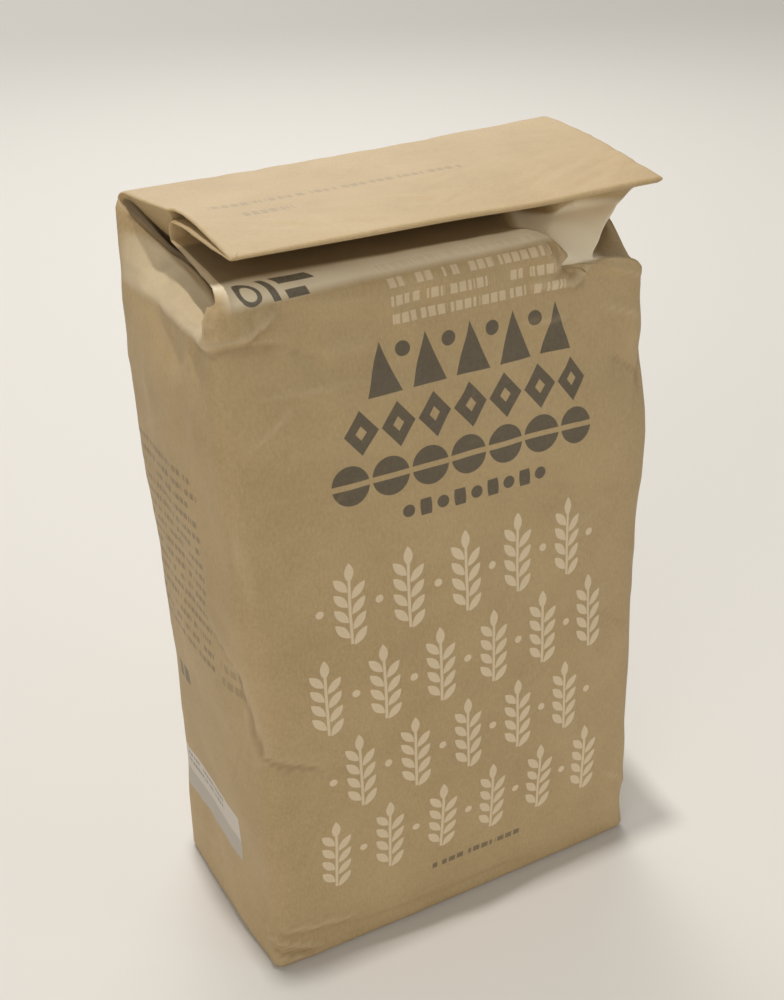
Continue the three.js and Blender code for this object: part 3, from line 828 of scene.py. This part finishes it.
# The front's four rows of plain shapes: wedges with discs between them, diamonds with a hole, discs with a
# slit, and small dots and bars. A wedge lies under its two slopes and over its foot, a diamond is a limit on
# the sum of two distances, and a disc one on the root of their squares.
def frontShapes(u, v):
    def cell(row):
        across = (u - row["left"]) % row["pitch"] - row["pitch"] / 2
        return across, v - row["bottom"] - row["tall"] / 2, u.within(row["left"], row["right"])

    row = ink["wedges"]
    a, b, inside = cell(row)
    half, margin = row["tall"] / 2, row["discMargin"]
    wedge = (abs(a) * (row["tall"] / (row["wide"] / 2)) + b).under(half, row["soft"]) * b.over(-half)
    disc = (row["pitch"] / 2 - abs(a)).far(b - row["discUp"]).under(row["disc"])
    disc = disc * u.within(row["left"] + margin, row["right"] - margin)
    shapes = wedge.most(disc) * inside
    row = ink["diamonds"]
    a, b, inside = cell(row)
    size = abs(a) * (row["tall"] / row["wide"]) + abs(b)
    shapes = shapes.most(size.within(row["hole"], row["tall"] / 2, row["soft"]) * inside)
    row = ink["discs"]
    a, b, inside = cell(row)
    shapes = shapes.most(a.far(b).under(row["radius"]) * abs(b).over(row["slit"]) * inside)
    row = ink["dots"]
    a, b, inside = cell(row)
    isBar = ((u - row["left"]) / row["pitch"]).floor() % 2
    mark = a.far(b * (1 - isBar * row["squeeze"])).under(row["radius"]) * abs(b).under(row["tall"] / 2)
    return shapes.most(mark * inside)


# Twigs in brick rows. A leaf is a lens: its half width falls with the square of the way along it. A twig's
# leaves repeat up the stem, half a step higher on its right.
def twigShapes(u, v):
    twig = ink["twigs"]
    row = ((v - twig["bottom"]) / twig["up"]).floor()
    shifted = row % 2
    across = u - twig["left"] + shifted * (twig["across"] / 2)
    column = (across / twig["across"]).floor()
    a = across % twig["across"] - twig["across"] / 2
    b = (v - twig["bottom"]) % twig["up"] - twig["up"] / 2
    lifted = b + a.over(0) * (twig["leaf"] / 2)
    c = lifted % twig["leaf"] - twig["leaf"] / 2
    sin, cos = np.sin(np.radians(twig["tilt"])), np.cos(np.radians(twig["tilt"]))
    side = abs(a) - twig["leafOut"]
    wide, along = abs(side * cos - c * sin) / twig["leafHalf"], (side * sin + c * cos) / twig["leafLong"]
    leaf = (wide + along.squared()).under(1, twig["soft"])
    leaf = leaf * lifted.within(-2 * twig["leaf"], 2 * twig["leaf"], 0.02)
    wide, along = abs(a) / twig["topHalf"], (b - twig["topUp"]) / twig["topLong"]
    top = (wide + along.squared()).under(1, twig["soft"])
    stem = abs(a).under(twig["stem"]) * b.within(*twig["stemEnds"])
    berry = (twig["across"] / 2 - abs(a)).far(b).under(twig["berry"])
    berry = berry * u.within(twig["left"] + twig["berryMargin"], twig["right"] - twig["berryMargin"])
    whole = (column - shifted).over(-0.5) * column.under(twig["columns"] - 0.5)
    return (leaf.most(top).most(stem) * whole).most(berry) * row.within(-0.5, twig["rows"] - 0.5)


# A field of dashes in rows: where a noise stretched along each row is high, cut by even gaps that slip from
# row to row
def dashRows(w, across, v, name):
    left, right, bottom, rows, pitch, tall, length, strength = ink["dashes"][name]
    dash, cell = ink["dash"], length * ink["dash"]["cell"]
    row = ((v - bottom) / pitch).floor()
    along = w.add("CombineXYZ", None, {"X": across / length, "Y": row * dash["shift"]})
    noise = w.add("TexNoise", {"noise_dimensions": "2D"}, {"Vector": along, "Scale": 1, "Detail": 1})
    b = (v - bottom) % pitch - pitch / 2
    gap = abs((across + row * dash["slip"]) % cell - cell / 2).under(length * dash["half"])
    inside = across.within(left, right) * row.within(-0.5, rows - 0.5)
    return noise.over(dash["level"], dash["soft"]) * gap * abs(b).under(tall / 2) * inside * strength


# 1 inside a rectangle along the paper, whose two pairs of sides have their own softness
def area(u, v, limits):
    return u.within(*limits[:3]) * v.within(*limits[3:])


# Where each ink lies: the larger of all that is printed in it. U and V are along the paper, x and y the
# place over the ground, which the flap's and the back's print follow.
def prints(w, u, v, x, y):
    cream = twigShapes(u, v).most(dashRows(w, u, v, "frontTop"))
    ringU, ringV, inner, outer = ink["ring"]
    dark = frontShapes(u, v).most((u - ringU).far(v - ringV).within(inner, outer))
    for left, right, low, high in ink["bars"]:
        dark = dark.most(u.within(left, right) * v.within(low, high))
    for name in ("leftPanel", "leftEdge", "leftBold", "rightPanel", "frontFoot", "label"):
        dark = dark.most(dashRows(w, u, v, name))
    high, far = ink["onFlap"]
    lines = dashRows(w, x, y, "flapLong") + dashRows(w, x, y, "flapShort")
    dark = dark.most(lines * v.over(high) * abs(u).over(far))
    far, low, high = ink["onBack"]
    border, line = ink["border"], ink["border"]["line"]
    wide, tall = abs(x - border["x"]), abs(v - border["v"])
    halfWide, halfTall = border["halfWide"], border["halfTall"]
    lines = wide.within(halfWide - line, halfWide) * tall.under(halfTall)
    lines = lines + wide.under(halfWide) * tall.within(halfTall - line, halfTall)
    table = dashRows(w, x, v, "backTable") + lines * border["strength"]
    dark = dark.most(table * abs(u).over(far) * v.within(low, high))
    print("print: shapes, twigs and", len(ink["dashes"]), "fields of dashes")
    return dark, cream, area(u, v, ink["label"])


# The paper's own colours, the painted shade and painted highlight laid on it, and how much its fibres and
# clouds vary it
paper = {
    "tones": [(0.36, (0.415, 0.288, 0.135, 1)), (0.50, (0.475, 0.335, 0.163, 1)),
              (0.66, (0.53, 0.385, 0.20, 1))],
    "toneShares": (0.3, 0.4, 0.3),  # of the fibres, the clouds and the flecks
    "fibres": (1.6, 0.45),  # their noise's steps for each millimetre round and up
    "clouds": 45,  # noise steps for each metre
    "flecks": 1100,
    "worn": (0.66, 0.53, 0.36, 1),  # on a crease's ridge
    "pressed": (0.25, 0.16, 0.075, 1),  # painted shade in a crease's valley
    "inside": (0.11, 0.075, 0.04, 1),  # painted shade in the mouths at the folded top's ends, and painted shadow under the flap
    "paintedHighlight": (0.92, 0.80, 0.58, 1),  # painted highlight on the crest, the left facet and the sheet under the right end
    "strength": {"worn": 0.3, "pressed": 0.45, "inside": 0.8, "under": 0.6, "sheet": 0.9},
    # Areas along the paper: from and to and softness in U, and the same in V. Under is painted shadow
    # beneath the flap's hem; crest, facet and sheet are painted highlight.
    "under": (-58, 34, 2, 211.5, 236, 1.5),
    "crest": (-57, 43, 3, 204, 211.5, 1.5),
    "facet": (-122, -64, 3, 194.5, 208, 1.5),
    "sheet": [(38, 68, 3, 207, 231, 2), (60, 84, 2, 215, 232, 2)],
    "cloudiness": {"crest": (0.6, 0.4), "facet": (0.1, 0.4)},  # least, and by the clouds' own value
    "thinned": 0.3,  # how much ink a worn ridge loses
    "roughness": (0.5, 0.14, 0.08),  # of the paper, more by the flecks, less by the dark ink
    "grain": 0.3,
    "grainShares": (0.4, 0.6),  # of the fibres and the flecks
    "grainDepth": 0.0002,
}


# Matt kraft paper: soft clouds and upright fibres in its tone, paler where a crease's ridge is worn, with
# painted shade in crease valleys, the mouths and under the flap, painted highlight on the crest, the left
# facet and the right sheet, and the print sunk into the same grain. Each tint is a mix by its mask.
def kraftPaper():
    material = bpy.data.materials.new("kraftPaper")
    material.use_nodes = True
    tree = material.node_tree
    tree.nodes.clear()
    w = Wire(tree)
    uvPlace = w.add("UVMap", {"uv_map": "paper"})
    objectPlace = w.add("TexCoord", None, None, "Object")
    u, v, x, y = (w.add("SeparateXYZ", None, {"Vector": place}, axis) * (1 / mm)
                  for place in (uvPlace, objectPlace) for axis in ("X", "Y"))
    worn, pressed, inside = (w.add("Attribute", {"attribute_name": name}, None, "Fac")
                             for name in ("worn", "pressed", "inside"))
    dark, cream, white = prints(w, u, v, x, y)
    along = w.add("CombineXYZ", None, {"X": u * paper["fibres"][0], "Y": v * paper["fibres"][1]})
    fibres = w.add("TexNoise", {"noise_dimensions": "2D"},
                   {"Vector": along, "Scale": 1, "Detail": 4, "Roughness": 0.7})
    clouds = w.add("TexNoise", None,
                   {"Vector": objectPlace, "Scale": paper["clouds"], "Detail": 5, "Roughness": 0.6})
    flecks = w.add("TexNoise", None,
                   {"Vector": objectPlace, "Scale": paper["flecks"], "Detail": 2, "Roughness": 0.7})
    share, strength = paper["toneShares"], paper["strength"]
    tone = w.add("ValToRGB", {"stops": paper["tones"]},
                 {"Fac": fibres * share[0] + clouds * share[1] + flecks * share[2]})
    tone = (worn * strength["worn"]).mixed(tone, paper["worn"])
    # Painted shade: each crease's valley is darkened
    tone = (pressed * strength["pressed"]).mixed(tone, paper["pressed"])
    # Painted shade in the mouths and painted shadow under the flap's hem
    under = area(u, v, paper["under"]) * strength["under"]
    tone = (inside * strength["inside"]).most(under).mixed(tone, paper["inside"])
    # Painted highlight: the crest, the left facet and the sheet under the right end are made paler
    crest, facet = (area(u, v, paper[name]) * (least + clouds * more)
                    for name, (least, more) in paper["cloudiness"].items())
    sheet = area(u, v, paper["sheet"][0]).most(area(u, v, paper["sheet"][1])) * strength["sheet"]
    tone = sheet.most(crest).most(facet * (1 - inside)).mixed(tone, paper["paintedHighlight"])
    strength, grainy = ink["strength"], ink["grain"][0] + flecks * ink["grain"][1]
    tone = (cream * strength["cream"] * grainy).mixed(tone, ink["cream"])
    label = (v.under(*ink["labelGrey"]) * strength["grey"]).mixed(ink["white"], ink["grey"])
    tone = (white * strength["white"]).mixed(tone, label)
    tone = (dark * strength["dark"] * grainy * (1 - worn * paper["thinned"])).mixed(tone, ink["dark"])
    height = fibres * paper["grainShares"][0] + flecks * paper["grainShares"][1]
    bump = w.add("Bump", None,
                 {"Strength": paper["grain"], "Distance": paper["grainDepth"], "Height": height})
    rough, byFlecks, byInk = paper["roughness"]
    shader = w.add("BsdfPrincipled", None, {"Base Color": tone, "Normal": bump, "Specular IOR Level": 0.5,
                                            "Roughness": rough + flecks * byFlecks - dark * byInk})
    w.add("OutputMaterial", None, {"Surface": shader})
    print("kraft paper:", len(tree.nodes), "nodes")
    return material


# The stage: a plain pale floor and five lights, a small one high above for the shadow under the flap, a
# wide one from the front left, weaker ones from the front right and behind, and one for the far floor
stage = {
    "floor": (0.70, 0.67, 0.62, 1),
    "floorHalf": 3.0,
    "floorRoughness": 0.6,
    "lights": [
        # name, place in metres, aimed at, size, power, colour
        ("topLight", (-0.09, 0.03, 2.1), (0, 0, 0.1), 0.09, 19.5, (1.0, 0.985, 0.96)),
        ("frontLight", (-2.1, -1.6, 1.1), (0, 0, 0.1), 1.8, 19, (1.0, 0.985, 0.96)),
        ("rightLight", (1.4, -1.7, 0.6), (0.04, 0, 0.12), 1.0, 5.5, (0.9, 0.96, 1.0)),
        ("backLight", (0.45, 0.85, 0.78), (0, 0, 0.2), 0.85, 2.8, (1.0, 0.99, 0.98)),
        ("farLight", (0.6, 3.4, 2.4), (0.3, 2.3, 0), 2.4, 46, (1.0, 0.98, 0.95)),
    ],
    "sky": (0.86, 0.85, 0.82, 1),
    "skyStrength": 0.35,
}


# The floor is one square at height 0, and each light is a disc that is turned to its target
def makeStage():
    half = stage["floorHalf"]
    corners = [(-half, -half, 0), (half, -half, 0), (half, half, 0), (-half, half, 0)]
    mesh = bpy.data.meshes.new("floor")
    mesh.from_pydata(corners, [], [(0, 1, 2, 3)])
    floor = bpy.data.objects.new("floor", mesh)
    bpy.context.scene.collection.objects.link(floor)
    material = bpy.data.materials.new("paleFloor")
    material.use_nodes = True
    shader = material.node_tree.nodes["Principled BSDF"]
    shader.inputs["Base Color"].default_value = stage["floor"]
    shader.inputs["Roughness"].default_value = stage["floorRoughness"]
    mesh.materials.append(material)
    for name, place, target, wide, power, colour in stage["lights"]:
        light = bpy.data.lights.new(name, "AREA")
        light.shape, light.size, light.energy, light.color = "DISK", wide, power, colour
        lamp = bpy.data.objects.new(name, light)
        lamp.location = place
        lamp.rotation_euler = (Vector(target) - Vector(place)).to_track_quat("-Z", "Y").to_euler()
        bpy.context.scene.collection.objects.link(lamp)
    world = bpy.data.worlds.new("room")
    world.use_nodes = True
    background = world.node_tree.nodes["Background"]
    background.inputs["Color"].default_value = stage["sky"]
    background.inputs["Strength"].default_value = stage["skyStrength"]
    bpy.context.scene.world = world
    bpy.context.scene.view_settings.view_transform = "Standard"
    print("stage: floor and", len(stage["lights"]), "lights made")


# The camera's turn has its right, its up and its backward direction as columns
def makeCamera():
    data = bpy.data.cameras.new("camera")
    data.sensor_width, data.lens, data.clip_start = camera["sensor"], camera["lens"], camera["near"]
    right, forward = Vector(camera["right"]).normalized(), Vector(camera["forward"]).normalized()
    up = right.cross(forward)
    turn = Matrix((right, up, -forward)).transposed()
    holder = bpy.data.objects.new("camera", data)
    holder.matrix_world = Matrix.Translation(Vector(camera["place"]) * mm) @ turn.to_4x4()
    bpy.context.scene.collection.objects.link(holder)
    bpy.context.scene.camera = holder
    print("camera: placed")


makeCamera()
makeStage()
makeBag()
